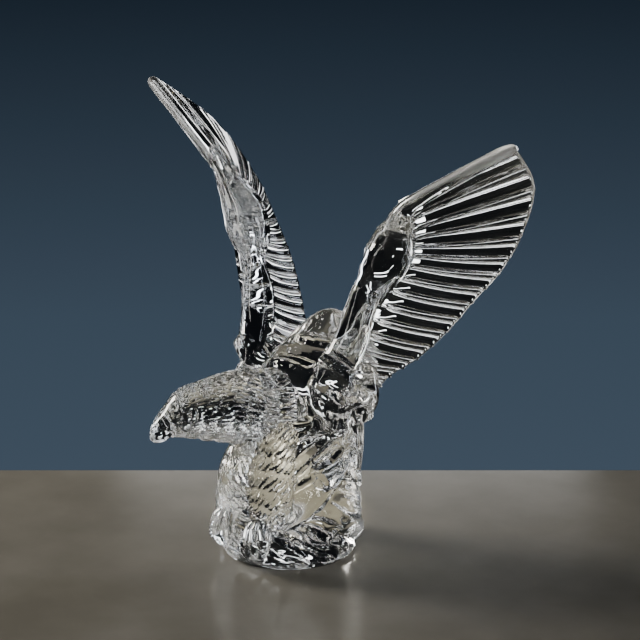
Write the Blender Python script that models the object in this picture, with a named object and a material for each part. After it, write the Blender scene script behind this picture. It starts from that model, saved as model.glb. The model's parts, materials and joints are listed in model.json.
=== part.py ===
"""Clear crystal eagle with raised wings, standing on a rock: one solid pressed piece.

Metres, +Z up. The eagle's body faces -Y, its left wing is at +X and its head is turned to its right.
The origin is the centre of the flat underside of the rock, on the table.
"""

from math import cos, exp, pi, radians, sin, sqrt

import bmesh
import bpy
import numpy as np
from mathutils import Vector

# Driving sizes, in metres
HEIGHT = 0.236  # table to the wing tips
FOOT_RADIUS = 0.0330  # flat polished underside of the rock
ROCK_RADIUS = 0.0395  # widest part of the rock
ROCK_WAIST = 0.0170  # height of that widest part above the table
ROCK_FRONT = 0.0240  # table to the rim of the rock under the feet
ROCK_BACK = 0.0520  # table to the rim of the rock under the tail
FEATHER_EDGE = 0.0046  # thickness of the wing along its outer edge
FEATHER_ROOT = 0.0120  # thickness of the wing where the feathers leave the arm
FLUTE_DEPTH = 0.0015  # depth of the hollow between two feather ridges
TAIL_THICKNESS = 0.0095
EYE_RADIUS = 0.0021

# Counts
WING_FLUTES = 16  # hollows between ridges, from the root to the leading edge
STEPS_PER_FLUTE = 2
TAIL_FLUTES = 6

# The figure's own pose and proportions are shares of its height: points below are in 236ths of it
GRAIN = HEIGHT / 236.0
NECK_TURN = radians(25.0)  # how far the head is turned to the eagle's right
TANGENT_STEP = 0.02  # share of a curve to each side that its direction is read from
NEARLY_ALONG_Y = 0.3  # sine of the angle under which a limb counts as running along Y


def at(x, y, z):
    """A point of the figure, from 236ths of its height to metres."""
    return Vector((x, y, z)) * GRAIN


def through(rows, share):
    """The row at this share of the way along a smooth curve through all the rows."""
    rows = np.asarray([tuple(row) for row in rows], float)
    last = len(rows) - 1
    place = min(max(share, 0.0), 1.0) * last
    i = min(int(place), last - 1)
    f = place - i
    before, start, end, after = (rows[min(max(k, 0), last)] for k in (i - 1, i, i + 1, i + 2))
    bend = 2 * before - 5 * start + 4 * end - after
    twist = -before + 3 * start - 3 * end + after
    return 0.5 * (2 * start + (end - before) * f + bend * f * f + twist * f**3)


def bump(value, middle, width):
    """1 at the middle, falling smoothly to 0 on both sides."""
    return exp(-(((value - middle) / width) ** 2))


def solid_through(name, rings):
    """A closed solid through rings of equally many points, with a flat face on the first and the last."""
    form = bmesh.new()
    loops = [[form.verts.new(point) for point in ring] for ring in rings]
    for low, high in zip(loops, loops[1:]):
        for i, corner in enumerate(low):
            j = (i + 1) % len(low)
            form.faces.new((corner, low[j], high[j], high[i]))
    form.faces.new(loops[0][::-1])
    form.faces.new(loops[-1])
    bmesh.ops.recalc_face_normals(form, faces=form.faces[:])
    bmesh.ops.triangulate(form, faces=form.faces[:])
    mesh = bpy.data.meshes.new(name)
    form.to_mesh(mesh)
    form.free()
    piece = bpy.data.objects.new(name, mesh)
    bpy.context.scene.collection.objects.link(piece)
    return piece


def limb(x, y, z, radius):
    """A row of a tube, from 236ths of the height to metres."""
    return (*at(x, y, z), radius * GRAIN)


def tube(name, rows, sides, steps):
    """A round-sectioned limb through rows of x, y, z and radius, in metres."""
    rings = []
    for k in range(steps + 1):
        share = k / steps
        x, y, z, radius = through(rows, share)
        ahead = through(rows, share + TANGENT_STEP)[:3]
        behind = through(rows, share - TANGENT_STEP)[:3]
        way = Vector(ahead - behind).normalized()
        across = way.cross(Vector((0, 1, 0)))
        if across.length < NEARLY_ALONG_Y:
            across = way.orthogonal()
        across.normalize()
        other = way.cross(across)
        ring = []
        for i in range(sides):
            turn = 2 * pi * i / sides
            ring.append(Vector((x, y, z)) + (across * cos(turn) + other * sin(turn)) * radius)
        rings.append(ring)
    return solid_through(name, rings)


# Rock: a rounded lump with a flat foot, low under the feet and high under the tail

ROCK_SIDES = 44
ROCK_RINGS = 10
ROCK_TAPER = 0.09  # narrowing from the widest part to the highest rim
RIM_TURNS = (radians(35), radians(115))  # the rim climbs between these turns, on both sides
FOLD_DEPTH = 0.0012
FOLD_SLANT = 45.0  # turn of the folds for each metre upwards
ROCK_TOP = [(0.8, 1.04), (0.4, 1.05)]  # rings over the top: share of the radius and of the rim's height


def rim_height(turn):
    """Height of the rock's rim. Turn 0 is straight ahead of the eagle, growing towards its left."""
    side = abs((turn + pi) % (2 * pi) - pi)
    share = min(max((side - RIM_TURNS[0]) / (RIM_TURNS[1] - RIM_TURNS[0]), 0.0), 1.0)
    return ROCK_FRONT + (ROCK_BACK - ROCK_FRONT) * share * share * (3 - 2 * share)


def rock_radius(turn, z):
    if z < ROCK_WAIST:
        radius = FOOT_RADIUS + (ROCK_RADIUS - FOOT_RADIUS) * sqrt(1 - (1 - z / ROCK_WAIST) ** 2)
    else:
        radius = ROCK_RADIUS * (1 - ROCK_TAPER * ((z - ROCK_WAIST) / (ROCK_BACK - ROCK_WAIST)) ** 2)
    slant = turn + FOLD_SLANT * z
    folds = sin(5 * slant) + 0.6 * sin(9 * slant + 2.1) + 0.5 * sin(14 * turn - 3 * FOLD_SLANT * z)
    above_foot = min(1.0, 3 * z / ROCK_WAIST)
    return radius + FOLD_DEPTH * folds * above_foot


def rock():
    """Rings up the side from the foot to the rim, then inwards over the top."""
    levels = [(1.0, k / ROCK_RINGS) for k in range(ROCK_RINGS + 1)] + ROCK_TOP
    rings = []
    for inward, share in levels:
        ring = []
        for i in range(ROCK_SIDES):
            turn = 2 * pi * i / ROCK_SIDES
            z = share * rim_height(turn)
            radius = rock_radius(turn, z) * inward
            ring.append(Vector((radius * sin(turn), -radius * cos(turn), z)))
        rings.append(ring)
    return solid_through("rock", rings)


# Torso: an egg lying along Y, flatter underneath, with the mantle raised between the wings

TORSO_ROWS = [  # y, half width, underside, back
    (-12.0, 9.0, 69.0, 92.0),
    (-7.0, 19.0, 64.0, 100.0),
    (3.0, 29.0, 61.5, 106.0),
    (15.0, 34.5, 62.5, 109.5),
    (26.0, 35.5, 65.0, 116.0),
    (36.0, 31.5, 68.5, 125.0),
    (44.0, 23.0, 72.0, 121.0),
    (49.5, 13.0, 77.0, 106.0),
    (51.0, 5.0, 82.0, 92.0),
]
TORSO_WIDEST = 84.0  # height of the torso's widest line
UNDERSIDE_SQUARE = 0.6  # under 1 squares the torso's lower edge
TORSO_STEPS, TORSO_SIDES = 14, 24


def torso():
    rings = []
    for k in range(TORSO_STEPS + 1):
        y, half_width, underside, back = through(TORSO_ROWS, k / TORSO_STEPS)
        ring = []
        for i in range(TORSO_SIDES):
            turn = 2 * pi * i / TORSO_SIDES
            if sin(turn) > 0:
                z = TORSO_WIDEST + (back - TORSO_WIDEST) * sin(turn)
            else:
                z = TORSO_WIDEST - (TORSO_WIDEST - underside) * (-sin(turn)) ** UNDERSIDE_SQUARE
            ring.append(at(half_width * cos(turn), y, z))
        rings.append(ring)
    return solid_through("torso", rings)


# Neck and head: one tapering form thrust forward from the breast, with a hooked beak.
# Rows: distance from the collar, bottom, top, half width

HEAD_ROWS = [
    (-14.0, 58.0, 98.0, 17.0),
    (0.0, 56.5, 99.8, 19.5),
    (12.0, 58.8, 101.8, 18.6),
    (24.0, 62.6, 102.3, 17.2),
    (35.0, 65.4, 101.2, 15.6),
    (45.0, 67.6, 98.8, 14.0),
    (53.0, 69.6, 97.3, 12.4),
    (59.0, 70.6, 94.8, 10.3),
    (63.0, 70.9, 90.6, 7.4),
    (66.5, 69.9, 86.0, 6.0),
    (69.5, 69.2, 82.6, 4.7),
    (72.0, 69.4, 79.4, 3.0),
    (73.6, 70.8, 76.8, 1.4),
]
COLLAR = (-3.0, -2.0)  # middle of the neck's root, seen from above
FORWARD = Vector((-sin(NECK_TURN), -cos(NECK_TURN), 0))
SIDEWAYS = Vector((cos(NECK_TURN), -sin(NECK_TURN), 0))
BROW = (56.0, 7.0, 0.16)  # distance from the collar, length, and swelling as a share of the width
SOCKET = (59.0, 4.0, 0.10)  # the same for the hollow in front of the eye
BROW_BAND = (0.5, 0.3)  # middle and half width of the brow, as sines of the turn
SOCKET_BAND = (0.12, 0.28)
HEAD_RINGS, HEAD_SIDES = 25, 20
EYE_SHARE = 0.565  # share of the way along the head's rows
EYE_TURN = radians(9.0)  # above the widest line of the head
EYE_SINK = 0.55  # depth of its centre under the skin, as a share of its radius


def head_point(reach, low, high, half_width, turn):
    """A point on the head's skin: turn 0 is the eagle's left side, a quarter turn its crown."""
    middle, half_height = (low + high) / 2, (high - low) / 2
    above_eye = bump(sin(turn), *BROW_BAND) if sin(turn) > 0 else 0.0
    beside_eye = bump(sin(turn), *SOCKET_BAND)
    brow = BROW[2] * bump(reach, BROW[0], BROW[1]) * above_eye
    socket = SOCKET[2] * bump(reach, SOCKET[0], SOCKET[1]) * beside_eye
    side = half_width * (1 + brow - socket) * cos(turn)
    place = Vector((*COLLAR, middle)) + FORWARD * reach + SIDEWAYS * side
    return at(place.x, place.y, place.z + half_height * sin(turn))


def head():
    rings = []
    for k in range(HEAD_RINGS):
        row = through(HEAD_ROWS, k / (HEAD_RINGS - 1))
        rings.append([head_point(*row, 2 * pi * i / HEAD_SIDES) for i in range(HEAD_SIDES)])
    return solid_through("head", rings)


def eye(side):
    """A round eye set deep into the skin under the brow, on the eagle's left for side 1."""
    turn = EYE_TURN if side > 0 else pi - EYE_TURN
    place = head_point(*through(HEAD_ROWS, EYE_SHARE), turn) - SIDEWAYS * side * EYE_SINK * EYE_RADIUS
    bpy.ops.mesh.primitive_uv_sphere_add(segments=10, ring_count=6, radius=EYE_RADIUS, location=place)
    return bpy.context.object


# Wings: a smooth arm in two swellings, and a fluted blade of feathers fanning from it.
# The rows are for the left wing, at +X. The right wing is its mirror image

ARM_ROWS = [
    (15.0, 3.0, 80.0, 14.0),
    (22.0, -2.0, 94.0, 11.5),
    (28.0, 4.5, 106.0, 10.4),
    (33.0, 12.0, 119.0, 9.2),
    (35.2, 14.3, 133.0, 8.2),
    (38.4, 15.4, 146.0, 7.3),
    (42.5, 17.2, 155.0, 8.3),
    (48.0, 20.6, 164.0, 10.8),
    (52.8, 22.0, 173.5, 11.0),
    (57.5, 20.3, 183.0, 8.4),
    (61.5, 18.5, 190.5, 6.0),
    (66.5, 18.0, 197.0, 4.3),
    (76.0, 18.8, 203.6, 4.0),
    (90.0, 20.6, 212.5, 3.8),
    (106.0, 23.0, 222.5, 3.6),
    (119.0, 25.0, 230.4, 3.6),
    (125.2, 26.3, 233.8, 3.1),
    (127.4, 26.8, 235.0, 1.6),
]
# Where the feathers leave the arm, from the root up to the wrist
FEATHER_STARTS = [
    (24.0, 6.0, 92.0),
    (30.0, 7.5, 107.4),
    (34.2, 10.0, 123.0),
    (41.0, 13.5, 139.2),
    (48.4, 18.0, 154.4),
    (55.0, 22.2, 166.6),
    (56.8, 21.2, 175.4),
    (58.5, 20.2, 183.4),
    (60.5, 17.8, 194.0),
]
# Where the same feathers end, along the outer edge up to the tip
FEATHER_ENDS = [
    (25.5, 41.0, 83.0),
    (31.5, 46.5, 92.5),
    (41.0, 58.0, 101.5),
    (54.0, 67.0, 117.5),
    (66.0, 72.5, 134.5),
    (81.0, 76.0, 153.0),
    (95.5, 75.0, 176.0),
    (113.5, 60.5, 207.5),
    (125.5, 28.0, 234.3),
]
FEATHER_SAG = 0.05  # how far a feather bows towards the root, as a share of its length
FEATHER_CAMBER = 0.03  # how far the blade bows towards the back of the wing
FLUTE_START, FLUTE_FULL = 0.12, 0.42  # shares of a feather where its flute begins and is at full depth
LEADING_SHARE = 0.5  # thickness of the blade's last ring, inside the leading edge, as a share
CHORD_STEPS = 8
ARM_SIDES, ARM_STEPS = 14, 36


def wing_frame(share):
    """Start, end, and the directions towards the tip and out of the wing's underside."""
    start = Vector(through(FEATHER_STARTS, share))
    end = Vector(through(FEATHER_ENDS, share))
    ahead, behind = share + TANGENT_STEP, share - TANGENT_STEP
    start_way = through(FEATHER_STARTS, ahead) - through(FEATHER_STARTS, behind)
    end_way = through(FEATHER_ENDS, ahead) - through(FEATHER_ENDS, behind)
    outward = (end - start).cross(Vector(start_way + end_way)).normalized()
    return start, end, outward.cross(end - start).normalized(), outward


def hollow(share, reach):
    """Depth of a flute, as a share of FLUTE_DEPTH, at a share along the wing and along the feather."""
    phase = share * WING_FLUTES % 1.0
    fade = min(1.0, max(0.0, (reach - FLUTE_START) / (FLUTE_FULL - FLUTE_START)))
    return (1 - (2 * phase - 1) ** 2) * fade


def blade_ring(share, swell, side):
    """The section of the blade along one feather. swell thins it towards the leading edge."""
    start, end, tipward, outward = wing_frame(share)
    half_flute = 0.5 / WING_FLUTES
    under, over = [], []
    for k in range(CHORD_STEPS + 1):
        reach = k / CHORD_STEPS
        bow = 4 * reach * (1 - reach) * (end - start).length
        sag = FEATHER_SAG * (1 - share**8)
        middle = start.lerp(end, reach) - tipward * bow * sag - outward * bow * FEATHER_CAMBER
        half = (FEATHER_ROOT + (FEATHER_EDGE - FEATHER_ROOT) * reach**0.6) / 2
        under_half = (half - FLUTE_DEPTH * hollow(share, reach)) * swell
        over_half = (half - FLUTE_DEPTH * hollow(share + half_flute, reach)) * swell
        under.append(at(*middle) + outward * under_half)
        over.append(at(*middle) - outward * over_half)
    return [Vector((point.x * side, point.y, point.z)) for point in under + over[::-1]]


def blade(side):
    """Two rings to a flute. The last ring closes the blade inside the bar of the leading edge."""
    steps = WING_FLUTES * STEPS_PER_FLUTE
    rings = [blade_ring(k / steps, 1.0, side) for k in range(steps)]
    rings.append(blade_ring(1.0, LEADING_SHARE, side))
    return solid_through("blade", rings)


def arm(side):
    """The arm as far as the wrist, then the bar of the leading edge out to the tip."""
    rows = [limb(x * side, y, z, radius) for x, y, z, radius in ARM_ROWS]
    return tube("arm", rows, ARM_SIDES, ARM_STEPS)


# Legs: a feathered thigh on each side, and three toes over the rim of the rock

HIP = (8.5, -9.0, 74.0)
ANKLE_OUT, ANKLE_FORWARD = 0.31, 0.785  # the ankle's place on the rock, as shares of its radius
ANKLE_SINK = 0.0010  # below the rim of the rock
THIGH_ROWS = [  # share of the way from hip to ankle, bulge forwards, radius
    (0.00, 0.0, 8.0),
    (0.22, 4.2, 9.5),
    (0.43, 4.5, 12.0),
    (0.67, 2.3, 12.6),
    (0.88, -0.9, 11.0),
    (1.05, -3.2, 8.0),
]
THIGH_SIDES, THIGH_STEPS = 16, 9
TOE_TURNS = (-30.0, 4.0, 38.0)  # degrees outwards from straight ahead
TOE_ROWS = [  # outwards from the ankle, upwards, radius
    (-4.0, 3.0, 4.2),
    (2.5, 3.2, 4.2),
    (6.8, 0.6, 3.9),
    (9.0, -4.4, 3.4),
    (9.3, -9.4, 2.7),
    (7.2, -13.8, 1.0),
]
TOE_SIDES, TOE_STEPS = 8, 8


def ankle(side):
    """Where the leg meets the rock, just behind its front rim."""
    x = ANKLE_OUT * ROCK_RADIUS * side
    return Vector((x, -ANKLE_FORWARD * ROCK_RADIUS, ROCK_FRONT - ANKLE_SINK))


def thigh(side):
    hip = at(HIP[0] * side, HIP[1], HIP[2])
    rows = []
    for share, bulge, radius in THIGH_ROWS:
        rows.append((*(hip.lerp(ankle(side), share) - at(0, bulge, 0)), radius * GRAIN))
    return tube("thigh", rows, THIGH_SIDES, THIGH_STEPS)


def toe(side, turn):
    """A toe and its claw: out from the ankle, over the rim and down the face of the rock."""
    swing = radians(turn)
    rows = []
    for out, up, radius in TOE_ROWS:
        place = ankle(side) + at(out * sin(swing) * side, -out * cos(swing), up)
        rows.append((*place, radius * GRAIN))
    return tube("toe", rows, TOE_SIDES, TOE_STEPS)


# Tail: a closed fan from the rump down to the back of the rock, fluted on its outer face

TAIL_ROWS = [  # y, z, half width
    (30.0, 94.0, 12.0),
    (39.5, 82.0, 14.5),
    (42.5, 67.0, 17.0),
    (41.0, 53.0, 19.0),
    (37.0, 40.0, 20.5),
]
TAIL_FOOT = (0.84, 0.55, 0.5)  # shares: y and half width of the rock's radius, z of its back rim
TAIL_CURVE = 4.0  # how far the sides of the fan wrap forwards
TAIL_STEPS = 10


def tail():
    rows = [tuple(value * GRAIN for value in row) for row in TAIL_ROWS]
    rows.append((TAIL_FOOT[0] * ROCK_RADIUS, TAIL_FOOT[1] * ROCK_BACK, TAIL_FOOT[2] * ROCK_RADIUS))
    across = TAIL_FLUTES * 2
    rings = []
    for k in range(TAIL_STEPS + 1):
        y, z, half_width = through(rows, k / TAIL_STEPS)
        ring = []
        for face in (1, -1):
            for i in range(across + 1):
                side = (2 * i / across - 1) * face
                groove = FLUTE_DEPTH * (i % 2) if face > 0 else 0.0
                rounding = 0.35 + 0.65 * sqrt(1 - side**6)
                depth = TAIL_THICKNESS / 2 * face * rounding - groove
                ring.append(Vector((half_width * side, y - TAIL_CURVE * GRAIN * side**2 + depth, z)))
        rings.append(ring)
    return solid_through("tail", rings)


# Clear core between the rock and the torso, from the legs back to the tail

CORE_ROWS = [  # z, half width, half length, middle along Y
    (38.0, 24.0, 31.0, 6.0),
    (52.0, 20.5, 31.0, 8.5),
    (64.0, 21.5, 31.0, 10.5),
    (78.0, 27.0, 31.0, 12.0),
]
CORE_FOOT = (0.8, 0.72, 0.78, 0.1)  # shares: z of the rock's front rim, the rest of its radius
CORE_SIDES, CORE_STEPS = 28, 6


def core():
    rows = [(CORE_FOOT[0] * ROCK_FRONT, *(share * ROCK_RADIUS for share in CORE_FOOT[1:]))]
    rows += [tuple(value * GRAIN for value in row) for row in CORE_ROWS]
    rings = []
    for k in range(CORE_STEPS + 1):
        z, half_width, half_length, middle = through(rows, k / CORE_STEPS)
        ring = []
        for i in range(CORE_SIDES):
            turn = 2 * pi * i / CORE_SIDES
            ring.append(Vector((half_width * cos(turn), middle + half_length * sin(turn), z)))
        rings.append(ring)
    return solid_through("core", rings)


def joined(name, pieces):
    """All the pieces fused into one solid."""
    whole = pieces[0]
    for piece in pieces[1:]:
        union = whole.modifiers.new("fuse", "BOOLEAN")
        union.operation = "UNION"
        union.object = piece
        piece.hide_render = True
        piece.display_type = "WIRE"
        bpy.context.view_layer.objects.active = whole
        bpy.ops.object.modifier_apply(modifier=union.name)
        bpy.data.objects.remove(piece)
    whole.name = name
    whole.data.name = name
    return whole


def clear_crystal():
    """Lead crystal: colourless, polished, and see-through."""
    material = bpy.data.materials.new("clear_crystal")
    material.use_nodes = True
    shader = material.node_tree.nodes["Principled BSDF"]
    shader.inputs["Base Color"].default_value = (0.93, 0.95, 0.95, 1)
    shader.inputs["Metallic"].default_value = 0.0
    shader.inputs["Roughness"].default_value = 0.02
    shader.inputs["Transmission Weight"].default_value = 1.0
    shader.inputs["IOR"].default_value = 1.55
    return material


def main():
    for old in list(bpy.data.objects):
        bpy.data.objects.remove(old)
    pieces = [rock(), core(), torso(), tail(), head()]
    for side in (1, -1):
        pieces += [thigh(side), arm(side), blade(side), eye(side)]
        pieces += [toe(side, turn) for turn in TOE_TURNS]
    eagle = joined("crystal_eagle", pieces)
    eagle.data.materials.clear()
    eagle.data.materials.append(clear_crystal())
    eagle.data.shade_smooth()
    eagle.data.set_sharp_from_angle(angle=radians(35))


main()
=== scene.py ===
"""A clear crystal eagle with raised wings on a rock: one pressed casting, on a studio table."""

import json

import bmesh
import bpy
import numpy as np
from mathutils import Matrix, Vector, noise

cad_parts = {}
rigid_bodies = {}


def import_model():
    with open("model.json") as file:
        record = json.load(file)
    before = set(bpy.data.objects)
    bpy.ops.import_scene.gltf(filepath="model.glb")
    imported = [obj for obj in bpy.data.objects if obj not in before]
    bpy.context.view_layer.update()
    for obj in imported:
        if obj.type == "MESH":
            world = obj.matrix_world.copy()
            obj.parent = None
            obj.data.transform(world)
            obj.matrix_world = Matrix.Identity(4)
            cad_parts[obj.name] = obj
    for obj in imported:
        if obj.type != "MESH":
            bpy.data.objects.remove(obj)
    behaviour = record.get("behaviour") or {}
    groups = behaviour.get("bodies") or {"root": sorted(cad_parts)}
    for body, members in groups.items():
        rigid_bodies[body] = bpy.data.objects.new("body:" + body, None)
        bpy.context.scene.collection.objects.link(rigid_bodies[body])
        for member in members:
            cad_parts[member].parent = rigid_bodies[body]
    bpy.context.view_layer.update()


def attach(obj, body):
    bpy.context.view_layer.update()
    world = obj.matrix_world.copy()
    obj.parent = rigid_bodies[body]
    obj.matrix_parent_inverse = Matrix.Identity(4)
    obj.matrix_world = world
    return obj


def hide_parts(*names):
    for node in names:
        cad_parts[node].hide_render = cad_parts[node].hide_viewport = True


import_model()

# The rock is the heavy foot of the casting. The mould gave it slanting craggy folds, low under
# the feet and high under the tail, sharp in front and softer behind, and its underside was ground
# flat and polished.

MM = 0.001
FOOT_RADIUS, ROCK_RADIUS, ROCK_WAIST = 33.0, 39.2, 17.0
ROCK_FRONT, ROCK_BACK = 24.0, 51.8
ROCK_TAPER = 0.09
ROCK_SIDES, ROCK_LEVELS, ROCK_TOP_LEVELS = 208, 54, 5
FOLD_DEPTH = 1.2
CRAG_LENGTH, CHIP_LENGTH = 8.5, 3.4
CRAG_DEPTH, CHIP_DEPTH, CRAG_SINK = 1.8, 0.3, 1.0
PLAIN_RIM = 1.2  # height that stays plain above the polished foot
# How far the front side lies round from straight ahead, to the eagle's left
AWAY = np.radians(42.0)


def form_of(name, rings):
    """A closed form through rings of points in millimetres, with a fan over each end."""
    rings = np.asarray(rings, float)
    count, sides = rings.shape[:2]
    points = np.concatenate([rings.reshape(-1, 3), rings[[0, -1]].mean(axis=1)]) * MM
    level = np.arange(count - 1)[:, None] * sides
    here = np.arange(sides)
    there = (here + 1) % sides
    wall = [level + here, level + there, level + sides + there, level + sides + here]
    wall = np.stack(wall, axis=-1).reshape(-1, 4)
    top = (count - 1) * sides
    bottom_fan = [(j, i, count * sides) for i, j in zip(here.tolist(), there.tolist())]
    top_fan = [(top + i, top + j, count * sides + 1) for i, j in zip(here.tolist(), there.tolist())]
    corners = points[wall]
    twice = np.cross(corners[:, 2] - corners[:, 0], corners[:, 3] - corners[:, 1])
    inside_out = (twice * corners.mean(axis=1)).sum() < 0
    faces = wall.tolist() + bottom_fan + top_fan
    if inside_out:
        faces = [face[::-1] for face in faces]
    mesh = bpy.data.meshes.new(name)
    mesh.from_pydata(points.tolist(), [], faces)
    form = bpy.data.objects.new(name, mesh)
    bpy.context.scene.collection.objects.link(form)
    return form


def outwards(rings):
    """Unit normals of a form through these rings, pointing away from its middle."""
    along = np.gradient(rings, axis=0)
    around = np.roll(rings, -1, axis=1) - np.roll(rings, 1, axis=1)
    normals = np.cross(around, along)
    normals /= np.maximum(np.linalg.norm(normals, axis=2, keepdims=True), 1e-9)
    away = rings - rings.mean(axis=1, keepdims=True)
    return normals if (normals * away).sum() > 0 else -normals


def waves(points, size, offset):
    """Smooth noise from -1 to 1 at each point, with swells about this many millimetres long."""
    moved = points.reshape(-1, 3) / size + offset
    return np.array([noise.noise(Vector(p)) for p in moved.tolist()]).reshape(points.shape[:-1])


def crags(rings):
    """Height of the rock's slanting swirled folds: broad ones with fine ones on them."""
    x, y, z = rings[..., 0], rings[..., 1], rings[..., 2]
    slant = np.stack([x * 0.9, y * 0.9, z * 0.55], axis=-1)
    lean = 1.1 * z / 30.0
    slant[..., 0], slant[..., 1] = (
        slant[..., 0] * np.cos(lean) - slant[..., 1] * np.sin(lean),
        slant[..., 0] * np.sin(lean) + slant[..., 1] * np.cos(lean),
    )
    drift = waves(slant, 13.0, 3.1)[..., None] * 5.0
    broad = 1 - 2.4 * np.abs(waves(slant + drift, CRAG_LENGTH, 11.7))
    fine = 1 - 2.4 * np.abs(waves(slant + drift, CHIP_LENGTH, 27.3))
    return CRAG_DEPTH * broad + CHIP_DEPTH * fine - CRAG_SINK


def rim_height(turns):
    """Height of the rock's rim. Turn 0 is straight ahead of the eagle, growing towards its left."""
    side = np.abs((turns + np.pi) % (2 * np.pi) - np.pi)
    climb = np.clip((np.degrees(side) - 35.0) / 80.0, 0, 1)
    return ROCK_FRONT + (ROCK_BACK - ROCK_FRONT) * climb**2 * (3 - 2 * climb)


levels = np.concatenate([np.linspace(0, 1, ROCK_LEVELS), np.ones(ROCK_TOP_LEVELS)])
inwards = np.concatenate([np.ones(ROCK_LEVELS), np.linspace(0.93, 0.3, ROCK_TOP_LEVELS)])
turns = np.linspace(0, 2 * np.pi, ROCK_SIDES, endpoint=False)
rim = rim_height(turns)
rise = levels[:, None] * rim[None, :]
low = FOOT_RADIUS + (ROCK_RADIUS - FOOT_RADIUS) * np.sqrt(
    1 - (1 - np.minimum(rise, ROCK_WAIST) / ROCK_WAIST) ** 2
)
taper = 1 - ROCK_TAPER * (np.maximum(rise - ROCK_WAIST, 0) / (ROCK_BACK - ROCK_WAIST)) ** 2
twist = turns[None, :] + 0.045 * rise
folds = np.sin(5 * twist) + 0.6 * np.sin(9 * twist + 2.1) + 0.5 * np.sin(14 * turns - 0.135 * rise)
above_foot = np.clip(3 * rise / ROCK_WAIST, 0, 1)
in_front = 0.55 + 0.45 * np.cos(turns - AWAY)
folded = FOLD_DEPTH * folds * above_foot * (0.3 + 0.7 * in_front)
radius = (low * taper + folded) * inwards[:, None]
rock_rings = np.stack([radius * np.sin(turns), -radius * np.cos(turns), rise], axis=-1)
relief = crags(rock_rings) * np.clip((rise - PLAIN_RIM) / 3.5, 0, 1) * (inwards[:, None] > 0.99)
relief *= np.clip(0.35 + (rim - rise) / 5.0, 0, 1) * in_front
rock_rings = rock_rings + outwards(rock_rings) * relief[..., None]
rock_rings[0, :, 2] = 0.0
rock = form_of("rock", rock_rings)

# The body is the clear middle of the casting: an egg-shaped torso with the mantle raised between
# the wings, the lower arms and hips that flow out of it, and the core that stands in the rock. The
# hot glass flowed into one skin, and was tooled with a few long creases.

TORSO_BELT = 84.0  # height at which the torso is broadest
TORSO_ROWS = [  # y, half width, underside, back
    (-12.0, 7.0, 69.0, 92.0),
    (-7.0, 13.5, 64.0, 99.0),
    (3.0, 25.0, 61.5, 105.0),
    (15.0, 34.0, 62.5, 109.5),
    (26.0, 35.5, 65.0, 116.0),
    (36.0, 31.5, 68.5, 125.0),
    (44.0, 23.0, 72.0, 121.0),
    (49.5, 13.0, 77.0, 106.0),
    (51.0, 5.0, 82.0, 92.0),
]
CORE_ROWS = [  # z, half width, half length, middle along y
    (19.0, 28.5, 30.8, 4.0),
    (38.0, 24.0, 31.0, 6.0),
    (52.0, 20.5, 31.0, 8.5),
    (64.0, 21.5, 31.0, 10.5),
    (78.0, 27.0, 31.0, 12.0),
]
LOWER_ARM_ROWS = [  # x, y, z, radius
    (26.0, 12.0, 68.0, 6.0),
    (27.5, 5.5, 80.0, 8.6),
    (27.0, 2.5, 93.0, 9.8),
    (29.0, 5.5, 106.0, 9.8),
    (33.0, 12.0, 119.0, 9.4),
    (35.2, 14.3, 133.0, 9.2),
    (38.4, 15.4, 146.0, 6.4),
    (41.0, 16.5, 152.0, 5.0),
]
CREASES = [  # points along each, then its height and half its breadth
    ([(29.5, -6.0, 89.0), (31.0, -4.5, 82.4), (31.8, -1.8, 76.9), (22.5, -3.9, 71.5)], 2.0, 2.0),
    ([(31.7, -1.8, 75.9), (33.6, 10.2, 74.2), (31.6, 29.7, 73.6)], 2.2, 2.0),
    ([(26.2, -2.5, 111.1), (36.8, -0.6, 107.1), (36.1, 8.7, 95.8), (35.4, 25.3, 85.6)], 2.2, 2.0),
    ([(-22.0, 2.0, 106.0), (-8.0, 0.0, 104.0), (6.0, 0.0, 103.0), (20.0, -2.0, 106.0)], 1.8, 1.8),
    ([(-20.0, 8.0, 112.0), (0.0, 8.0, 110.0), (20.0, 8.0, 112.0)], -2.0, 2.4),
    ([(-16.0, 17.0, 119.0), (0.0, 15.0, 117.0), (16.0, 17.0, 119.0)], 2.0, 1.8),
    ([(26.8, -7.4, 97.8), (33.8, -4.1, 91.7), (34.9, 8.7, 86.7), (35.1, 19.8, 86.9)], 2.0, 1.8),
    ([(31.9, -6.1, 100.6), (37.1, 1.9, 95.8), (34.2, 16.6, 88.5)], -2.0, 2.2),
    ([(15.9, -9.4, 61.2), (22.4, -2.5, 64.9), (31.4, 8.5, 69.1), (31.5, 19.8, 70.2)], -2.0, 2.4),
    ([(17.4, -9.6, 48.7), (22.9, -3.1, 51.3), (25.5, 8.1, 55.8), (18.2, 30.6, 60.1)], 2.0, 1.8),
    ([(18.8, -12.5, 45.8), (24.0, -5.7, 47.2), (30.0, -4.0, 42.2)], 1.6, 1.8),
]

CORE_FOOT = 0.97 * ROCK_RADIUS * 0.96
CORE_FLARE, CORE_SUNK, CORE_TOP = 9.0, 5, 83
SKIN_GRAIN, SKIN_ROUNDS = 1.4, 34
SWELL_DEPTH, SWELL_LENGTH = 1.5, 20.0
FLANK_FLUTE_DEPTH, FLANK_FLUTE_PITCH = 1.4, 6.2
FLANK_MIDDLE, FLANK_HEIGHT = 54.0, 14.0


def through(rows, shares):
    """Rows along a smooth curve through all of these, at shares of the way."""
    rows = np.asarray(rows, float)
    last = len(rows) - 1
    place = np.clip(shares, 0, 1) * last
    i = np.minimum(place.astype(int), last - 1)
    f = (place - i)[..., None]
    before, start, end = rows[np.maximum(i - 1, 0)], rows[i], rows[i + 1]
    after = rows[np.minimum(i + 2, last)]
    bend = 2 * before - 5 * start + 4 * end - after
    swing = -before + 3 * start - 3 * end + after
    return 0.5 * (2 * start + (end - before) * f + bend * f * f + swing * f**3)


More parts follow.
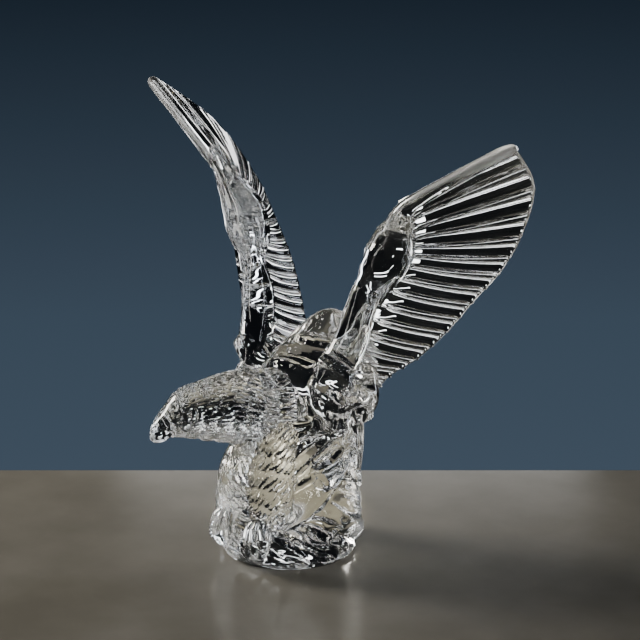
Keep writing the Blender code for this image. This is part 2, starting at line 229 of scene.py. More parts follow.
def limb_rings(rows, sides, steps):
    """Round rings along a limb given as rows of x, y, z and radius."""
    shares = np.linspace(0, 1, steps + 1)
    line = through(rows, shares)
    way = through(rows, shares + 0.02)[:, :3] - through(rows, shares - 0.02)[:, :3]
    way /= np.linalg.norm(way, axis=1, keepdims=True)
    across = np.cross(way, (0.0, 1.0, 0.0))
    flat = np.linalg.norm(across, axis=1) < 0.3
    across[flat] = np.cross(way[flat], (1.0, 0.0, 0.0))
    across /= np.linalg.norm(across, axis=1, keepdims=True)
    other = np.cross(way, across)
    turns = np.linspace(0, 2 * np.pi, sides, endpoint=False)[None, :, None]
    round_it = across[:, None] * np.cos(turns) + other[:, None] * np.sin(turns)
    return line[:, None, :3] + round_it * line[:, None, 3:]


def mirrored(rings):
    """The same rings on the eagle's right."""
    return rings * np.array((-1.0, 1.0, 1.0))


def bump(value, middle, width):
    """1 at the middle, falling smoothly to 0 on both sides."""
    return np.exp(-(((value - middle) / width) ** 2))


turns = np.linspace(0, 2 * np.pi, 72, endpoint=False)
up, out = np.sin(turns), np.cos(turns)
torso_line = through(TORSO_ROWS, np.linspace(0, 1, 61))
y, half_width, underside, back = (torso_line[:, k, None] for k in range(4))
raised = TORSO_BELT + (back - TORSO_BELT) * up
hanging = TORSO_BELT - (TORSO_BELT - underside) * np.abs(up) ** 0.6
torso_rings = np.stack([half_width * out, y + 0 * out, np.where(up > 0, raised, hanging)], axis=-1)
around = turns + np.pi / 2
rim = rim_height(around)[None, :]
z = rim - CORE_SUNK + np.linspace(0, 1, 41)[:, None] * (CORE_TOP - rim)
core_z, *core_sizes = np.array(CORE_ROWS).T
half_width, half_length, middle = (np.interp(z, core_z, size) for size in core_sizes)
flare = np.exp(-((np.maximum(z - rim, 0) / CORE_FLARE) ** 2))
core_x = half_width * out * (1 - flare) + CORE_FOOT * out * flare
core_y = (middle + half_length * up) * (1 - flare) + CORE_FOOT * up * flare
core_rings = np.stack([core_x, core_y, z], axis=-1)
arm_rings = limb_rings(LOWER_ARM_ROWS, 40, 60)
soft_forms = [form_of("torso", torso_rings), form_of("core", core_rings)]
soft_forms += [form_of("arm", arm_rings), form_of("arm", mirrored(arm_rings))]

bpy.ops.object.select_all(action="DESELECT")
for form in soft_forms:
    form.select_set(True)
body = soft_forms[0]
bpy.context.view_layer.objects.active = body
bpy.ops.object.join()
melt = body.modifiers.new("melted together", "REMESH")
melt.mode = "VOXEL"
melt.voxel_size = SKIN_GRAIN * MM
bpy.ops.object.modifier_apply(modifier=melt.name)
flow = body.modifiers.new("flowing hollows", "SMOOTH")
flow.factor = 0.5
flow.iterations = SKIN_ROUNDS
bpy.ops.object.modifier_apply(modifier=flow.name)
bpy.ops.object.select_all(action="DESELECT")
body.select_set(True)
points = np.empty(len(body.data.vertices) * 3)
normals = np.empty(len(body.data.vertices) * 3)
body.data.vertices.foreach_get("co", points)
body.data.vertex_normals.foreach_get("vector", normals)
points, normals = points.reshape(-1, 3) / MM, normals.reshape(-1, 3)
# The eagle's left is worked deeper than its right, and slanting flutes run down both flanks
near_side = np.clip(0.65 + points[:, 0] / 30.0, 0.3, 1.0)
swell = SWELL_DEPTH * waves(points, SWELL_LENGTH, 41.0) * near_side
sweep = 0.55 * points[:, 1] - 0.83 * points[:, 2]
flank = bump(points[:, 2], FLANK_MIDDLE, FLANK_HEIGHT)
flank *= np.clip(np.abs(points[:, 0]) / 8.0 - 0.6, 0, 1)
slanted = np.cos(2 * np.pi * sweep / FLANK_FLUTE_PITCH + 1.5 * waves(points, 16.0, 7.0))
swell += FLANK_FLUTE_DEPTH * slanted * flank * near_side
for places, height, breadth in CREASES:
    far = np.full(len(points), 1e9)
    for place in through(places, np.linspace(0, 1, 50)):
        for hand in (1.0, -1.0):
            apart = np.linalg.norm(points - place * (hand, 1, 1), axis=1)
            on_skin = points[np.argmin(apart)]
            far = np.minimum(far, np.linalg.norm(points - on_skin, axis=1))
    swell += height * bump(far, 0.0, breadth)
points += normals * swell[:, None]
body.data.vertices.foreach_set("co", (points * MM).reshape(-1))
body.data.update()

# The tail is a closed fan that runs down from the rump to the back of the rock, pressed in one
# with them, with shallow rounded flutes for its feathers on the outer face.

TAIL_ROWS = [  # y, z, half width
    (30.0, 94.0, 12.0),
    (39.5, 82.0, 14.5),
    (42.5, 67.0, 17.0),
    (41.0, 53.0, 19.0),
    (37.0, 40.0, 20.5),
    (33.2, 28.6, 19.7),
]
TAIL_THICK, TAIL_CURL = 4.75, 4
TAIL_FEATHERS, TAIL_GROOVE = 6, 0.8

across = np.linspace(-1, 1, 61)
tail_line = through(TAIL_ROWS, np.linspace(0, 1, 46))
y, z, half_width = (tail_line[:, k, None] for k in range(3))
thick = TAIL_THICK * (0.35 + 0.65 * np.sqrt(1 - across**6))
groove = TAIL_GROOVE * (0.5 - 0.5 * np.cos(TAIL_FEATHERS * np.pi * (across + 1)))
curled = y - TAIL_CURL * across**2
outer = np.stack([half_width * across, curled + thick - groove, z + 0 * across], axis=-1)
inner = np.stack([half_width * across, curled - thick, z + 0 * across], axis=-1)
tail = form_of("tail", np.concatenate([outer, inner[:, ::-1]], axis=1))

# Each leg is a thick feathered thigh that comes down from the breast, tooled with slanting feather
# strokes and a cuff, and three toes whose claws close over the rim of the rock. The right leg is
# tooled only where it faces front.

ANKLE = np.array((12.2, -31.0, 23.0))
HIP = np.array((8.5, -9.0, 74.0))
THIGH_ROWS = [  # share of the way from hip to ankle, bulge forwards, radius
    (0.00, 0.0, 8.0),
    (0.22, 4.2, 9.5),
    (0.43, 4.5, 12.0),
    (0.67, 2.3, 12.6),
    (0.88, -0.9, 11.0),
    (1.05, -3.2, 8.0),
]
TOE_ROWS = [  # outwards from the ankle, upwards, radius
    (-4.0, 3.0, 4.2),
    (2.5, 3.2, 4.2),
    (6.8, 0.6, 3.9),
    (9.0, -4.4, 3.4),
    (9.3, -9.4, 2.7),
    (7.2, -13.8, 1.0),
]
TOE_SPREAD = (-30.0, 4.0, 38.0)
THIGH_SIDES, THIGH_STEPS = 112, 62
THIGH_STROKES, THIGH_STROKE_ROWS, STROKE_SLANT = 20, 7.4, 2.0
STROKE_DEPTH = 2.2
CUFF_HEIGHT, CUFF_ROW = 1.1, 3.3
FRONT_X, FRONT_Y = 0.67, -0.74  # the level way from the eagle to the side that faces front


def feathers(along, around, count, seed):
    """Height of overlapping feather strokes from 0 to 1. One feather is 1 long and 1 wide."""
    row, place = np.floor(along), np.floor(around)
    nearest = np.full(along.shape, 9.0)
    second = np.full(along.shape, 9.0)
    lift = np.zeros(along.shape)
    for down in (-1, 0, 1):
        for beside in (-2, -1, 0, 1, 2):
            a, b = row + down, place + beside
            key = a * 127.1 + (b % count) * 311.7 + seed
            stray = np.sin(key) * 43758.5453 % 1.0
            drift = np.sin(key * 1.7 + 5.0) * 24634.6345 % 1.0
            far_along = along - (a + 0.2 + 0.6 * stray)
            far_around = around - (b + 0.5 * (a % 2) + 0.15 + 0.5 * drift)
            far = np.sqrt(far_along**2 + far_around**2)
            closer = far < nearest
            second = np.where(closer, nearest, np.minimum(second, far))
            lift = np.where(closer, far_along, lift)
            nearest = np.where(closer, far, nearest)
    edge = np.clip((second - nearest) * 0.95, 0, 1)
    return edge * (2 - edge) * (0.75 + 0.6 * lift)


thigh_rows = []
for share, bulge, radius in THIGH_ROWS:
    thigh_rows.append((*(HIP + (ANKLE - HIP) * share - (0, bulge, 0)), radius))
thigh_rings = limb_rings(thigh_rows, THIGH_SIDES, THIGH_STEPS)
along = np.linspace(0, THIGH_STROKE_ROWS, THIGH_STEPS + 1)[:, None] + np.zeros((1, THIGH_SIDES))
around = np.arange(THIGH_SIDES)[None, :] * THIGH_STROKES / THIGH_SIDES - along * STROKE_SLANT
tooled = feathers(along, around, THIGH_STROKES, 4.0)[..., None] - 0.5
cuff = CUFF_HEIGHT * bump(along, CUFF_ROW, 0.25)[..., None]
away = outwards(thigh_rings)
left_rings = thigh_rings + away * (STROKE_DEPTH * tooled + cuff)
faces_front = np.clip(-FRONT_X * away[..., :1] + FRONT_Y * away[..., 1:2], 0, 1)
right_rings = thigh_rings + away * (0.3 + 1.7 * faces_front) * (tooled + 0.6 * cuff)
legs = [form_of("thigh", left_rings), form_of("thigh", mirrored(right_rings))]
for swing in np.radians(TOE_SPREAD):
    toe_rows = []
    for reach, up, radius in TOE_ROWS:
        toe_rows.append((*(ANKLE + (reach * np.sin(swing), -reach * np.cos(swing), up)), radius))
    toe_rings = limb_rings(toe_rows, 20, 30)
    legs += [form_of("toe", toe_rings), form_of("toe", mirrored(toe_rings))]

# Neck and head are one tapering form thrust forward and turned to the eagle's right. The neck is
# tooled all over with long feather strokes up to its raised collar. Brow, cere and hooked beak are
# smooth, and each eye is a small dome in a ring groove.

HEAD_ROWS = [  # distance from the collar, bottom, top, half width
    (-14.0, 58.0, 98.0, 17.0),
    (0.0, 56.5, 99.8, 19.5),
    (12.0, 58.8, 101.8, 18.6),
    (24.0, 62.6, 102.3, 17.2),
    (35.0, 65.4, 101.2, 15.6),
    (45.0, 67.6, 98.8, 14.0),
    (53.0, 69.6, 97.3, 12.4),
    (59.0, 70.6, 94.8, 10.3),
    (63.0, 70.9, 90.6, 7.4),
    (66.5, 69.9, 86.0, 6.0),
    (69.5, 69.2, 82.6, 4.7),
    (72.0, 69.4, 79.4, 3.0),
    (73.6, 70.8, 76.8, 1.4),
]
HEAD_SIDES = 204
COLLAR_MIDDLE = np.array((-3.0, -2.0, 0.0))
COLLAR_LIP = 1.5
EYE_REACH, EYE_HEIGHT = 54.2, 85.6
EYE_GROOVE, EYE_DOME = 1.3, 0.6
NECK_STROKES, NECK_STROKE_LENGTH, NECK_STROKE_DEPTH = 40, 8.0, 1.9
NECK_SWELL_DEPTH, NECK_SWELL_LENGTH = 0.9, 13.0
CERE_REACH, CERE_GROOVE = 61.5, 0.35
MOUTH_GROOVE = 0.25
NECK_TURN = np.radians(25.0)
FORWARD = np.array((-np.sin(NECK_TURN), -np.cos(NECK_TURN), 0.0))
SIDEWAYS = np.array((np.cos(NECK_TURN), -np.sin(NECK_TURN), 0.0))

turns = np.linspace(0, 2 * np.pi, HEAD_SIDES, endpoint=False)
up, out = np.sin(turns)[None, :], np.cos(turns)[None, :]
head_line = through(HEAD_ROWS, np.concatenate([np.linspace(0, 0.5, 62), np.linspace(0.508, 1, 58)]))
reach, low, high, half_width = (head_line[:, k, None] for k in range(4))
brow = 0.16 * bump(reach, 56.0, 7.0) * bump(up, 0.5, 0.3)
socket = 0.10 * bump(reach, 59.0, 4.0) * bump(up, 0.12, 0.28)
flat = 1 - 0.45 * np.clip((reach - 62.5) / 4.0, 0, 1)
beside = half_width * (1 + brow - socket) * np.sign(out) * np.abs(out) ** flat
height = (low + high) / 2 + (high - low) / 2 * up
head_rings = COLLAR_MIDDLE + reach[..., None] * FORWARD + beside[..., None] * SIDEWAYS
head_rings[..., 2] = height
eye_far = np.hypot(reach - EYE_REACH, (height - EYE_HEIGHT) / 1.7)
around = turns[None, :] * NECK_STROKES / (2 * np.pi) + 0.5 * np.sin(reach / NECK_STROKE_LENGTH)
strokes = feathers(reach / NECK_STROKE_LENGTH + 0 * up, around, NECK_STROKES, 9.0)
feathered = np.clip((60.0 - reach) / 9.0, 0, 1) * np.clip(reach / 1.5, 0, 1)
feathered = feathered * (1 - bump(eye_far, 0.0, 4.4))
left_deeper = 0.6 + 0.4 * np.sign(out)
relief = (NECK_STROKE_DEPTH * strokes - 0.9) * feathered * left_deeper
relief += NECK_SWELL_DEPTH * waves(head_rings, NECK_SWELL_LENGTH, 87.0) * feathered * left_deeper
relief += COLLAR_LIP * bump(np.maximum(reach, 0.0), 0.0, 3.0) * np.clip(reach / 1.1 + 1, 0, 1)
eye = EYE_GROOVE * bump(eye_far, 2.0, 0.6) - EYE_DOME * bump(eye_far, 0.0, 1.1)
relief -= eye * (np.abs(out) > 0.5)
relief -= CERE_GROOVE * bump(reach + 0.25 * (height - 80.0), CERE_REACH, 1.3)
mouth = 76.2 + 0.10 * (reach - 60.0) - 0.012 * (reach - 60.0) ** 2
relief -= MOUTH_GROOVE * bump(height, mouth, 0.8) * np.clip((reach - 56.0) / 3.0, 0, 1)
head_rings = head_rings + outwards(head_rings) * relief[..., None]
head = form_of("head", head_rings)

# Each wing is an arm that ends in an oval swelling at the wrist and a bar along the leading edge,
# with a blade of feathers fanning out of it. The mould left narrow rounded ridges between wide
# hollow flutes, half a flute apart on the two faces, and a raised rib with small beads where the
# feathers leave the wrist.

WRIST_ROWS = [  # x, y, z, radius
    (36.5, 15.0, 142.0, 3.0),
    (38.6, 15.6, 146.5, 5.6),
    (41.0, 17.0, 151.5, 6.6),
    (44.5, 19.4, 158.0, 9.8),
    (49.0, 21.2, 165.5, 11.6),
    (53.0, 22.0, 174.0, 11.2),
    (57.5, 20.3, 183.0, 8.5),
    (61.5, 18.5, 190.5, 6.0),
    (66.5, 18.0, 197.0, 4.3),
    (76.0, 18.8, 203.6, 4.0),
    (90.0, 20.6, 212.5, 3.8),
    (106.0, 23.0, 222.5, 3.6),
    (119.0, 25.0, 230.4, 3.6),
    (125.2, 26.3, 233.6, 3.0),
    (127.2, 26.8, 234.8, 1.4),
]
# Where the feathers leave the arm, from the root up to the wrist
FEATHER_STARTS = [
    (24.0, 6.0, 92.0),
    (30.0, 7.5, 107.4),
    (34.2, 10.0, 123.0),
    (41.0, 13.5, 139.2),
    (48.4, 18.0, 154.4),
    (55.0, 22.2, 166.6),
    (56.8, 21.2, 175.4),
    (58.5, 20.2, 183.4),
    (60.5, 17.8, 194.0),
]
# Where the same feathers end, along the outer edge up to the tip
FEATHER_ENDS = [
    (25.5, 41.0, 83.0),
    (31.5, 46.5, 92.5),
    (41.0, 58.0, 101.5),
    (54.0, 67.0, 117.5),
    (66.0, 72.5, 134.5),
    (81.0, 76.0, 153.0),
    (95.5, 75.0, 176.0),
    (113.5, 60.5, 207.5),
    (125.5, 28.0, 234.3),
]
FLUTES = 16
FLUTE_DEPTH = 1.65
FLUTE_DEPTHS_BEHIND = (0.6, 0.25)  # left wing, right wing
RIDGE_ROUND, FLUTE_SQUARENESS = 0.04, 9
FEATHER_ROOT, FEATHER_EDGE = 12.0, 4.6
FEATHER_BOW, FEATHER_SAG = 0.03, 0.05
CHORD_POINTS = 15
ARM_SIDES, ARM_STEPS = 36, 150
ARM_GROOVES, ARM_GROOVE_DEPTH = 7, 0.45
RIB_FROM, RIB_TO = 0.42, 0.95
RIB_OUT, RIB_UP = 4.0, 5.2
BEAD_RADIUS, BEAD_OUT, BEAD_UP = 1.4, 7.4, 4.6
BEAD_FLUTES = range(9, 16)


def fluted(shares, starts_at, reach):
    """Depth of a flute from 0 on its ridges to 1, fading in where the feather leaves the arm."""
    phase = shares * FLUTES % 1.0
    from_ridge = 2 * np.minimum(phase, 1 - phase)
    soft = (np.sqrt(from_ridge**2 + RIDGE_ROUND**2) - RIDGE_ROUND) / (
        np.sqrt(1 + RIDGE_ROUND**2) - RIDGE_ROUND
    )
    fade = np.clip((reach - starts_at) / 0.14, 0, 1)
    return (1 - (1 - soft) ** FLUTE_SQUARENESS) * fade * fade * (3 - 2 * fade)


half_flute = np.array((0, 0.015, 0.035, 0.06, 0.1, 0.18, 0.32, 0.4, 0.44, 0.465, 0.485))
in_flute = np.concatenate([half_flute, half_flute + 0.5])
shares = ((np.arange(FLUTES)[:, None] + in_flute[None, :]) / FLUTES).reshape(-1)
shares = np.append(shares, 1.0)
start, end = through(FEATHER_STARTS, shares), through(FEATHER_ENDS, shares)
feather = end - start
length = np.linalg.norm(feather, axis=1, keepdims=True)
along_edges = through(FEATHER_STARTS, shares + 0.02) - through(FEATHER_STARTS, shares - 0.02)
along_edges += through(FEATHER_ENDS, shares + 0.02) - through(FEATHER_ENDS, shares - 0.02)
outward = np.cross(feather, along_edges)
outward /= np.linalg.norm(outward, axis=1, keepdims=True)
tipward = np.cross(outward, feather)
tipward /= np.linalg.norm(tipward, axis=1, keepdims=True)
nose = FEATHER_EDGE / 2
bend = np.radians((74.0, 54.0, 33.0, 12.0))
straight = np.linspace(0, 1, CHORD_POINTS)[None, :] * (1 - nose / length)
rounded = 1 - nose / length * (1 - np.cos(bend))[None, :]
chord = np.concatenate([straight, rounded], axis=1)
blunt = np.concatenate([np.ones(CHORD_POINTS), np.sin(bend)])[None, :]
half = (FEATHER_ROOT + (FEATHER_EDGE - FEATHER_ROOT) * chord**0.6) / 2
starts_at = 0.05 + 0.13 * np.clip((0.62 - shares) / 0.2, 0, 1)[:, None]
thin = np.where(shares > 0.995, 0.5, 1.0)[:, None]
bow = 4 * chord * (1 - chord) * length
sag = FEATHER_SAG * (1 - shares**8)[:, None]
middle = start[:, None] + feather[:, None] * chord[..., None]
sagged = tipward[:, None] * (bow * sag)[..., None]
middle -= sagged + outward[:, None] * (bow * FEATHER_BOW)[..., None]
under_half = (half - FLUTE_DEPTH * fluted(shares[:, None], starts_at, chord)) * thin * blunt
under_side = middle + outward[:, None] * under_half[..., None]
between = FLUTE_DEPTH * fluted(shares[:, None] + 0.5 / FLUTES, starts_at, chord)
blades = []
for depth in FLUTE_DEPTHS_BEHIND:
    over_half = (half - depth * between) * thin * blunt
    over_side = middle - outward[:, None] * over_half[..., None]
    blades.append(np.concatenate([under_side, over_side[:, ::-1]], axis=1))

# The left arm has swirled hollows like the body's, and the right one fine grooves along it
arm_rings = limb_rings(WRIST_ROWS, ARM_SIDES, ARM_STEPS)
swirl = waves(arm_rings, 8.0, 71.0) * np.clip((196.0 - arm_rings[..., 2]) / 6.0, 0, 1)
left_arm = arm_rings + outwards(arm_rings) * swirl[..., None]
turns = np.linspace(0, 2 * np.pi, ARM_SIDES, endpoint=False)
grooves = ARM_GROOVE_DEPTH * np.cos(turns * ARM_GROOVES)[None, :, None]
grooves = grooves * np.clip((204.0 - arm_rings[..., 2:]) / 8.0, 0, 1)
right_arm = mirrored(arm_rings + outwards(arm_rings) * (0.3 * swirl[..., None] + grooves))
at_wrist = np.linspace(RIB_FROM, RIB_TO, 14)
picked = np.round(at_wrist * (len(shares) - 1)).astype(int)
ray = feather[picked] / length[picked]
rib_line = start[picked] + ray * RIB_OUT + outward[picked] * RIB_UP
rib_size = 0.9 + 1.0 * np.sin(np.pi * (at_wrist - RIB_FROM) / (RIB_TO - RIB_FROM))
rib_rings = limb_rings(np.column_stack([rib_line, rib_size]), 16, 70)
wings = []
for hand in (1.0, -1.0):
    for flute in BEAD_FLUTES:
        picked = flute * len(in_flute)
        ray = feather[picked] / length[picked]
        bead = start[picked] + ray * BEAD_OUT + outward[picked] * BEAD_UP
        bpy.ops.object.select_all(action="DESELECT")
        bpy.ops.mesh.primitive_uv_sphere_add(
            segments=14, ring_count=9, radius=BEAD_RADIUS * MM, location=bead * (hand, 1, 1) * MM
        )
        wings.append(bpy.context.object)
wings += [form_of("blade", blades[0]), form_of("blade", mirrored(blades[1]))]
wings += [form_of("rib", rib_rings), form_of("rib", mirrored(rib_rings))]
wings += [form_of("wrist", left_arm), form_of("wrist", right_arm)]

# All of it is one casting of clear lead crystal: pressed in a mould, tooled while hot and
# fire-polished, then sandblasted satin along the leading edges near the wing tips.

WELD = 0.02
SHARP_EDGE = np.radians(38.0)
SATIN_FROM = 66.0  # how far out along the wing the satin starts
SATIN_REACH = 0.8

eagle = rock
for form in [body, tail, head, *legs, *wings]:
    fuse = eagle.modifiers.new("fused", "BOOLEAN")
    fuse.operation = "UNION"
    fuse.solver = "MANIFOLD"
    fuse.object = form
    bpy.context.view_layer.objects.active = eagle
    bpy.ops.object.modifier_apply(modifier=fuse.name)
    bpy.data.objects.remove(form)
eagle.name = "crystal_eagle_casting"
eagle.data.name = eagle.name

bpy.ops.object.select_all(action="DESELECT")
eagle.select_set(True)
bpy.context.view_layer.objects.active = eagle
bpy.ops.object.mode_set(mode="EDIT")
bpy.ops.mesh.select_all(action="SELECT")
bpy.ops.mesh.remove_doubles(threshold=WELD * MM)
bpy.ops.mesh.select_all(action="DESELECT")
bpy.ops.object.mode_set(mode="OBJECT")

# The fusing closes in a small hollow between rock, legs and core. A casting is solid there, so only
# what hangs together with the wing tips stays.
wing_tip = int(np.argmax([v.co.z for v in eagle.data.vertices]))
eagle.data.vertices[wing_tip].select = True
bpy.ops.object.mode_set(mode="EDIT")
bpy.ops.mesh.select_linked()
bpy.ops.mesh.select_all(action="INVERT")
bpy.ops.mesh.delete(type="VERT")
bpy.ops.mesh.select_all(action="SELECT")
bpy.ops.mesh.normals_make_consistent(inside=False)
bpy.ops.object.mode_set(mode="OBJECT")
bpy.ops.object.shade_smooth_by_angle(angle=SHARP_EDGE)

points = np.empty(len(eagle.data.vertices) * 3)
eagle.data.vertices.foreach_get("co", points)
points = points.reshape(-1, 3) / MM
points[:, 0] = np.abs(points[:, 0])

# Satin lies on what is close to the bar of either wing and faces forwards and up
bar = through(WRIST_ROWS, np.linspace(0.6, 1, 60))
far = np.full(len(points), 1e9)
for x, y, z, radius in bar:
    far = np.minimum(far, np.linalg.norm(points - (x, y, z), axis=1) - radius)
normals = np.empty(len(eagle.data.vertices) * 3)
eagle.data.vertex_normals.foreach_get("vector", normals)
leading = normals.reshape(-1, 3)[:, 1] * -0.9 + normals.reshape(-1, 3)[:, 2] * 0.43
narrow = np.interp(points[:, 0], (SATIN_FROM, 92.0, 118.0), (0.9, 0.84, 0.15))
satin = np.clip(1 - far / SATIN_REACH, 0, 1) * np.clip((points[:, 0] - SATIN_FROM) / 8.0, 0, 1)
satin *= np.clip((leading - narrow) / 0.08, 0, 1)
frosted = eagle.data.attributes.new("satin", "FLOAT", "POINT")
frosted.data.foreach_set("value", satin.astype(np.float32))


def colour(code):
    """Linear colour of an sRGB hex value."""
    parts = [int(code[k : k + 2], 16) / 255 for k in (1, 3, 5)]
    linear = [p / 12.92 if p <= 0.04045 else ((p + 0.055) / 1.055) ** 2.4 for p in parts]
    return (*linear, 1.0)


def node(tree, kind, settings, links):
    """Adds a node with its settings and the sockets that feed it."""
    made = tree.nodes.new(kind)
    for name, value in settings.items():
        if name in made.inputs:
            made.inputs[name].default_value = value
        else:
            setattr(made, name, value)
    for name, socket in links.items():
        tree.links.new(socket, made.inputs[name])
    return made


# Pressed lead crystal: colourless, heavy and bright, with a faint ripple left by the fire polish
# that makes reflections swim, and a satin frost where it was blasted.
RIPPLE_LENGTH, RIPPLE_HEIGHT = 7.0, 0.12
crystal = bpy.data.materials.new("pressed lead crystal")
crystal.use_nodes = True
tree = crystal.node_tree
glass = tree.nodes["Principled BSDF"]
glass.inputs["Base Color"].default_value = colour("#F6F8F8")
glass.inputs["Transmission Weight"].default_value = 1.0
glass.inputs["IOR"].default_value = 1.55
glass.inputs["Metallic"].default_value = 0.0
place = node(tree, "ShaderNodeTexCoord", {}, {})
ripple = node(
    tree,
    "ShaderNodeTexNoise",
    {"Scale": 1 / (RIPPLE_LENGTH * MM), "Detail": 2.0, "Roughness": 0.5},
    {"Vector": place.outputs["Object"]},
)
swim = node(
    tree,
    "ShaderNodeBump",
    {"Strength": 0.5, "Distance": RIPPLE_HEIGHT * MM},
    {"Height": ripple.outputs["Fac"]},
)
frost = node(tree, "ShaderNodeAttribute", {"attribute_name": "satin"}, {})
rough = node(
    tree,
    "ShaderNodeMapRange",
    {"To Min": 0.01, "To Max": 0.6},
    {"Value": frost.outputs["Fac"]},
)
tree.links.new(swim.outputs["Normal"], glass.inputs["Normal"])
tree.links.new(rough.outputs["Result"], glass.inputs["Roughness"])
eagle.data.materials.clear()
eagle.data.materials.append(crystal)

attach(eagle, "root")
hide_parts("crystal_eagle")

# The table is a plain slab of honed stone with a straight back edge. A hair of air under the foot
# lets the polished crystal mirror, as it does on a real table. All its sizes are in metres.

TABLE_BACK, TABLE_FRONT, TABLE_SIDE = 0.117, -1.3, 1.1
TABLE_THICK = 0.04
AIR_UNDER_FOOT = 0.0002

back_way = np.array((-np.sin(AWAY), np.cos(AWAY)))
right_way = np.array((np.cos(AWAY), np.sin(AWAY)))
corners = []
for away, aside in (
    (TABLE_BACK, -TABLE_SIDE),
    (TABLE_BACK, TABLE_SIDE),
    (TABLE_FRONT, TABLE_SIDE),
    (TABLE_FRONT, -TABLE_SIDE),
):
    corners.append(back_way * away + right_way * aside)
bpy.ops.object.select_all(action="DESELECT")
slab = bmesh.new()
top = slab.faces.new([slab.verts.new((x, y, -AIR_UNDER_FOOT)) for x, y in corners])
if top.normal.z < 0:
    bmesh.ops.reverse_faces(slab, faces=[top])
grown = bmesh.ops.extrude_face_region(slab, geom=[top])
lowered = [part for part in grown["geom"] if isinstance(part, bmesh.types.BMVert)]
bmesh.ops.translate(slab, vec=(0, 0, -TABLE_THICK), verts=lowered)
bmesh.ops.recalc_face_normals(slab, faces=slab.faces[:])
table_mesh = bpy.data.meshes.new("table")
slab.to_mesh(table_mesh)
slab.free()
table = bpy.data.objects.new("table", table_mesh)
bpy.context.scene.collection.objects.link(table)

# Honed stone: a mid warm grey with soft clouds about 70 mm across, just glossy enough to mirror the
# foot of the casting.
stone = bpy.data.materials.new("honed pale stone")
stone.use_nodes = True
tree = stone.node_tree
honed = tree.nodes["Principled BSDF"]
place = node(tree, "ShaderNodeTexCoord", {}, {})
cloud = node(
    tree,
    "ShaderNodeTexNoise",
    {"Scale": 14.0, "Detail": 6.0},
    {"Vector": place.outputs["Object"]},
)
tint = node(tree, "ShaderNodeValToRGB", {}, {"Fac": cloud.outputs["Fac"]})
tint.color_ramp.elements[0].position = 0.35
tint.color_ramp.elements[0].color = colour("#7C7A72")
tint.color_ramp.elements[1].position = 0.7
tint.color_ramp.elements[1].color = colour("#8D8B84")
tree.links.new(tint.outputs["Color"], honed.inputs["Base Color"])
honed.inputs["Roughness"].default_value = 0.21
honed.inputs["IOR"].default_value = 1.45
table.data.materials.append(stone)

# The studio is near black, with a slate backdrop that only the camera sees. Its colour holds a
# painted fall of light, palest low down and darkening upwards. Its soft boxes stand just out of
# the picture: the key behind on the left, thin bars behind that draw the white edges of the
# feathers, a tall strip on each side behind, and another on each side in front. A narrow warm spot
# behind lights the table that is seen through the rock.

world = bpy.data.worlds.new("studio")
bpy.context.scene.world = world
world.use_nodes = True
tree = world.node_tree
dark = tree.nodes["Background"]
dark.inputs["Color"].default_value = colour("#15171A")
way = node(tree, "ShaderNodeTexCoord", {}, {})
parts = node(tree, "ShaderNodeSeparateXYZ", {}, {"Vector": way.outputs["Generated"]})
level = node(
    tree,
    "ShaderNodeMapRange",
    {"From Min": -0.5, "From Max": 0.0},
    {"Value": parts.outputs["Z"]},
)
# Painted fall of light on the backdrop: pale slate low down, darkening to a deep slate upwards
slate_with_painted_falloff = node(tree, "ShaderNodeValToRGB", {}, {"Fac": level.outputs["Result"]})
ramp = slate_with_painted_falloff.color_ramp
ramp.elements[0].position = 0.15
ramp.elements[0].color = colour("#4F5C69")
ramp.elements[1].position = 0.72
ramp.elements[1].color = colour("#1D2630")
stop = ramp.elements.new(0.42)
stop.color = colour("#45515E")
backdrop = node(tree, "ShaderNodeBackground", {}, {"Color": slate_with_painted_falloff.outputs["Color"]})
seen = node(tree, "ShaderNodeLightPath", {}, {})
both = node(tree, "ShaderNodeMixShader", {}, {"Fac": seen.outputs["Is Camera Ray"]})
tree.links.new(dark.outputs["Background"], both.inputs[1])
tree.links.new(backdrop.outputs["Background"], both.inputs[2])
tree.links.new(both.outputs["Shader"], tree.nodes["World Output"].inputs["Surface"])

EAGLE_MIDDLE = 0.11


def soft_box(name, at, size, power, tint):
    """A soft box aimed at the eagle. It stands at so much to the right, away and up, in metres."""
    lamp = bpy.data.lights.new(name, "AREA")
    lamp.shape = "RECTANGLE"
    lamp.size, lamp.size_y = size
    lamp.energy = power
    lamp.color = colour(tint)[:3]
    box = bpy.data.objects.new(name, lamp)
    aside, away, up = at
    place = right_way * aside + back_way * away
    box.location = (*place, up)
    aim = Vector((0, 0, EAGLE_MIDDLE)) - box.location
    box.rotation_euler = aim.to_track_quat("-Z", "Y").to_euler()
    box.visible_camera = False
    bpy.context.scene.collection.objects.link(box)


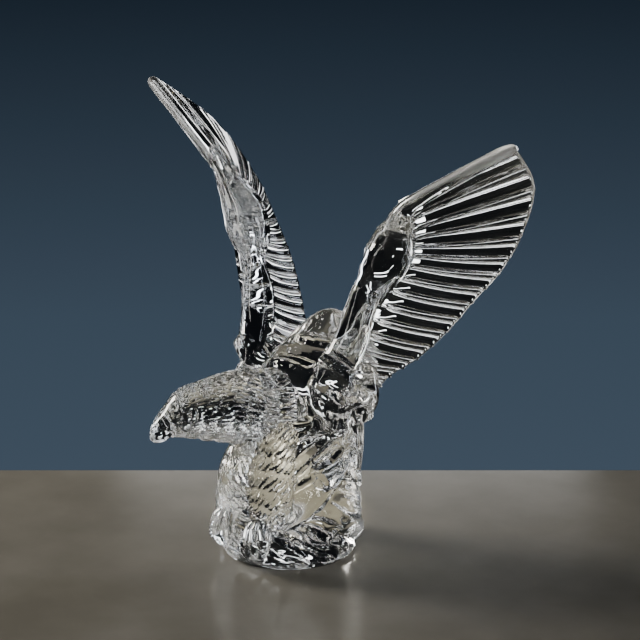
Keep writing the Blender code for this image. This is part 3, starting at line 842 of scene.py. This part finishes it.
soft_box("key", (-1.2, 0.5, 0.65), (0.5, 0.5), 19.0, "#FFF8EE")
soft_box("low bar", (0.05, 1.0, 0.16), (0.45, 0.045), 0.2, "#FFFFFF")
soft_box("lower bar", (-0.17, 1.0, -0.09), (0.26, 0.05), 0.16, "#FFFFFF")
soft_box("middle bar", (0.05, 1.0, 0.3), (0.45, 0.045), 0.2, "#FFFFFF")
soft_box("high bar", (0.5, 0.75, 0.95), (0.5, 0.14), 0.7, "#FFFFFF")
soft_box("left strip", (-1.02, 0.64, 0.1), (0.18, 1.2), 2.8, "#FFFFFF")
soft_box("right strip", (0.98, 0.69, 0.1), (0.16, 1.2), 3.0, "#F4F8FF")
soft_box("left front", (-1.2, -0.56, 0.35), (0.2, 1.1), 3.4, "#FFFCF6")
soft_box("right front", (0.92, -0.92, 0.5), (0.2, 1.0), 3.2, "#F6F9FF")

SNOOT_BACK, SNOOT_HEIGHT = 0.36, 0.42
GLOW_BACK = 0.055
glow = bpy.data.lights.new("table glow", "SPOT")
glow.spot_size, glow.spot_blend = np.radians(9.5), 0.6
glow.shadow_soft_size = 0.01
glow.energy = 14.0
glow.color = colour("#FFF6DC")[:3]
snoot = bpy.data.objects.new("table glow", glow)
snoot.location = (*(back_way * SNOOT_BACK), SNOOT_HEIGHT)
aim = Vector((*(back_way * GLOW_BACK), 0)) - snoot.location
snoot.rotation_euler = aim.to_track_quat("-Z", "Y").to_euler()
snoot.visible_camera = False
bpy.context.scene.collection.objects.link(snoot)

# Clear crystal shows what is behind only after many bounces
scene = bpy.context.scene
scene.view_settings.look = "AgX - Medium High Contrast"
scene.cycles.max_bounces = 24
scene.cycles.glossy_bounces = 12
scene.cycles.transmission_bounces = 24
scene.cycles.transparent_max_bounces = 8

# The camera stands a little above the eagle's left front, as far off as a portrait lens wants.

ELEVATION = np.radians(17.0)
CAMERA_REACH = 1.3
PICTURE_MIDDLE, PICTURE_RIGHT, PICTURE_UP = 0.120, 0.0168, 0.0071

level_way = np.cos(ELEVATION)
back = Vector((np.sin(AWAY) * level_way, -np.cos(AWAY) * level_way, np.sin(ELEVATION)))
right = Vector((np.cos(AWAY), np.sin(AWAY), 0.0))
above = back.cross(right)
aim = Vector((0, 0, PICTURE_MIDDLE)) + right * PICTURE_RIGHT + above * PICTURE_UP
lens = bpy.data.cameras.new("camera")
lens.sensor_width = 36.0
lens.lens = 139.3
lens.clip_start, lens.clip_end = 0.05, 20.0
camera = bpy.data.objects.new("camera", lens)
camera.location = aim + back * CAMERA_REACH
camera.rotation_euler = (-back).to_track_quat("-Z", "Y").to_euler()
scene.collection.objects.link(camera)
scene.camera = camera
